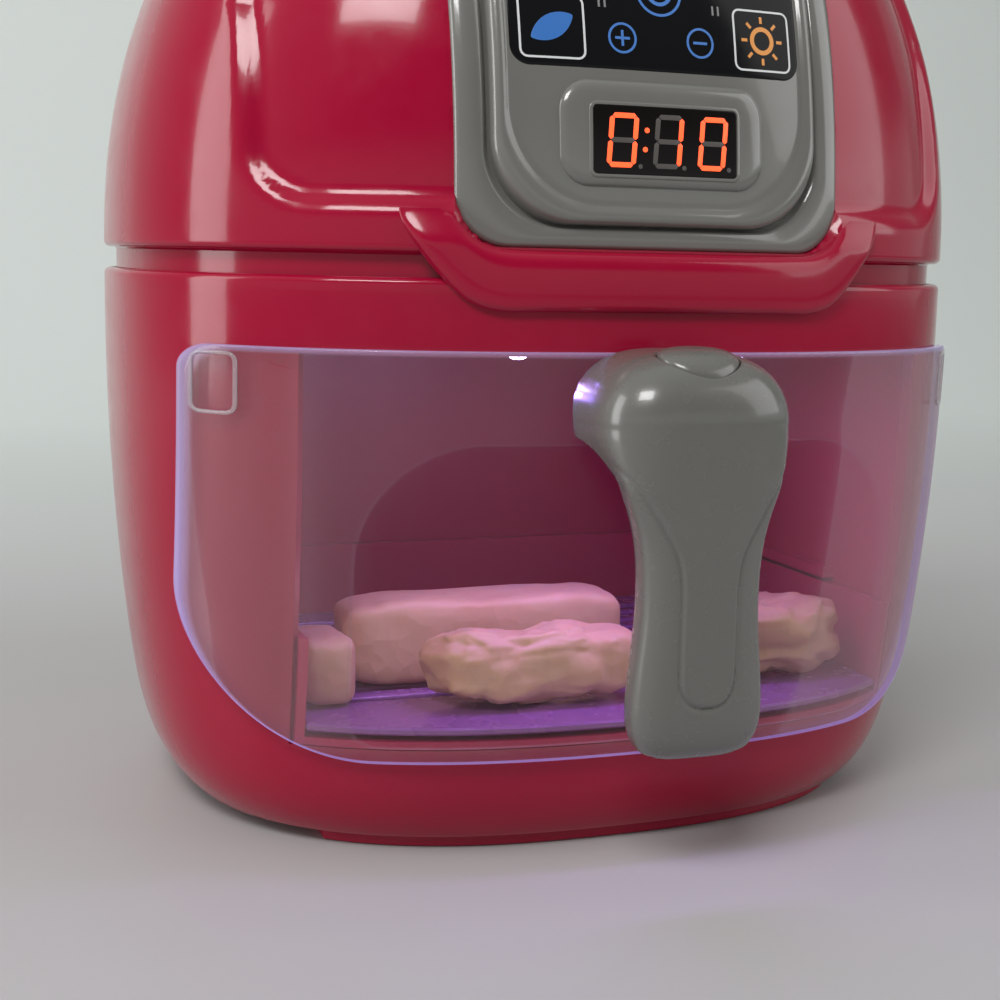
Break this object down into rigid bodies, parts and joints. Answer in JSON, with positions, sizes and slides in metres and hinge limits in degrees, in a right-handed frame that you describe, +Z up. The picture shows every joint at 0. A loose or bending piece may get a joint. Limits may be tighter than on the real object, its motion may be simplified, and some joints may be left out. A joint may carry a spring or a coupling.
{
  "type": "toy air fryer",
  "caption": "Toy air fryer with an oval two-part housing, control bezel with timer display, sliding clear-fronted drawer and release handle.",
  "frame": {"origin": "middle of the flat underside, on the housing's upright axis, at table height", "axes": "+Z up, front with the drawer handle towards -Y, +X to the right seen from the front"},
  "size_m": [0.1901, 0.175, 0.2319],
  "materials": {
    "pink_plastic": "gloss moulded plastic",
    "bezel_grey": "gloss moulded plastic",
    "handle_grey": "satin-gloss moulded plastic",
    "panel_black": "gloss printed film",
    "display_black": "gloss, red segments",
    "clear_plastic": "clear, frosted border",
    "grill_violet": "gloss moulded plastic",
    "circuit_board": "satin",
    "black_plastic": "satin",
    "screw_steel": "plated",
    "contact_steel": "plated",
    "lamp_lens": "clear lens",
    "food_cream": "matte soft vinyl"
  },
  "bodies": {
    "housing": {"lower_housing": "pink_plastic", "base_plate": "pink_plastic", "battery_door": "pink_plastic", "upper_housing": "pink_plastic", "bay_liner": "pink_plastic", "battery_door_screw": "screw_steel", "base_screws": "screw_steel", "dome_screws": "screw_steel", "board_screws": "screw_steel", "battery_contacts": "contact_steel", "touch_contacts": "contact_steel", "lamp_board": "circuit_board", "control_board": "circuit_board", "lamps": "lamp_lens", "speaker": "black_plastic", "switch_body": "black_plastic", "control_bezel": "bezel_grey", "touch_panel": "panel_black", "display_module": "display_black"},
    "drawer": {"drawer_front": "clear_plastic", "drawer_tub": "pink_plastic", "grill_plate": "grill_violet", "handle_head": "handle_grey", "handle_grip": "handle_grey", "handle_screws": "screw_steel", "release_spring": "contact_steel", "food_finger": "food_cream", "food_nugget": "food_cream", "food_wing": "food_cream", "food_bite": "food_cream"},
    "button": {"release_button": "handle_grey"},
    "knob": {"switch_knob": "black_plastic"}
  },
  "joints": [
    {"name": "drawer_slide", "type": "slide", "parent": "housing", "child": "drawer", "axis": [0, -1, 0], "range_m": [0, 0.1]},
    {"name": "release_press", "type": "slide", "parent": "drawer", "child": "button", "axis": [0, 0, -1], "range_m": [0, 0.0025], "stiffness_N_per_m": 300, "springref_m": -0.001, "deforming": ["release_spring"]},
    {"name": "power_switch", "type": "slide", "parent": "housing", "child": "knob", "axis": [1, 0, 0], "range_m": [0, 0.004]}
  ]
}
